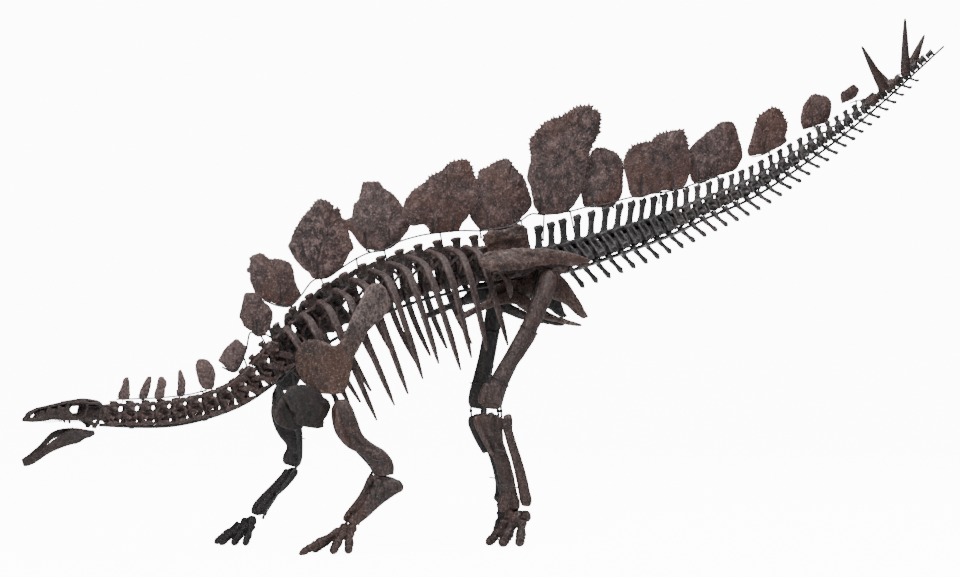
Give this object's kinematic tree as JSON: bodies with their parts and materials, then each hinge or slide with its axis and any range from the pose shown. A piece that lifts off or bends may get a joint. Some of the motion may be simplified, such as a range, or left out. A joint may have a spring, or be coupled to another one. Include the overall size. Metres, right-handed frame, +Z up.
{
  "type": "mounted stegosaurus skeleton",
  "caption": "Standing stegosaurus skeleton of dark fossil bone on a slim steel armature: low head, arched back with upright plates, raised tail ending in spikes.",
  "frame": {"origin": "middle of the whole skeleton's box, on the floor under the feet", "axes": "+X towards the tail tip, -X towards the snout, -Y the animal's left side, +Z up"},
  "size_m": [5.6233, 0.9162, 2.9753],
  "materials": {
    "plate_bone": "satin",
    "limb_bone": "satin",
    "column_bone": "satin",
    "skull_bone": "satin",
    "painted_steel": "satin"
  },
  "bodies": {
    "root": {"coracoid_left": "limb_bone", "coracoid_right": "limb_bone", "femur_left": "limb_bone", "femur_right": "limb_bone", "fibula_left": "limb_bone", "fibula_right": "limb_bone", "forefoot_left": "limb_bone", "forefoot_right": "limb_bone", "foreleg_rod_left": "painted_steel", "foreleg_rod_right": "painted_steel", "hindfoot_left": "limb_bone", "hindfoot_right": "limb_bone", "hindleg_rod_left": "painted_steel", "hindleg_rod_right": "painted_steel", "humerus_left": "limb_bone", "humerus_right": "limb_bone", "ischium_left": "limb_bone", "ischium_right": "limb_bone", "lower_jaw": "skull_bone", "neck_vertebrae": "column_bone", "pelvis": "column_bone", "plate_01": "plate_bone", "plate_02": "plate_bone", "plate_03": "plate_bone", "plate_04": "plate_bone", "plate_05": "plate_bone", "plate_06": "plate_bone", "plate_07": "plate_bone", "plate_08": "plate_bone", "plate_09": "plate_bone", "plate_10": "plate_bone", "plate_11": "plate_bone", "plate_12": "plate_bone", "plate_13": "plate_bone", "plate_14": "plate_bone", "plate_15": "plate_bone", "plate_16": "plate_bone", "plate_17": "plate_bone", "plate_18": "plate_bone", "plate_19": "plate_bone", "plate_wire_back": "painted_steel", "plate_wire_neck": "painted_steel", "pubis_left": "limb_bone", "pubis_right": "limb_bone", "radius_left": "limb_bone", "radius_right": "limb_bone", "rib_cage": "column_bone", "scapula_left": "limb_bone", "scapula_right": "limb_bone", "skull": "skull_bone", "spine_rail": "painted_steel", "tail_spike_1": "plate_bone", "tail_spike_2": "plate_bone", "tail_spike_3": "plate_bone", "tail_spike_4": "plate_bone", "tail_vertebrae": "column_bone", "tibia_left": "limb_bone", "tibia_right": "limb_bone", "ulna_left": "limb_bone", "ulna_right": "limb_bone"}
  },
  "joints": []
}
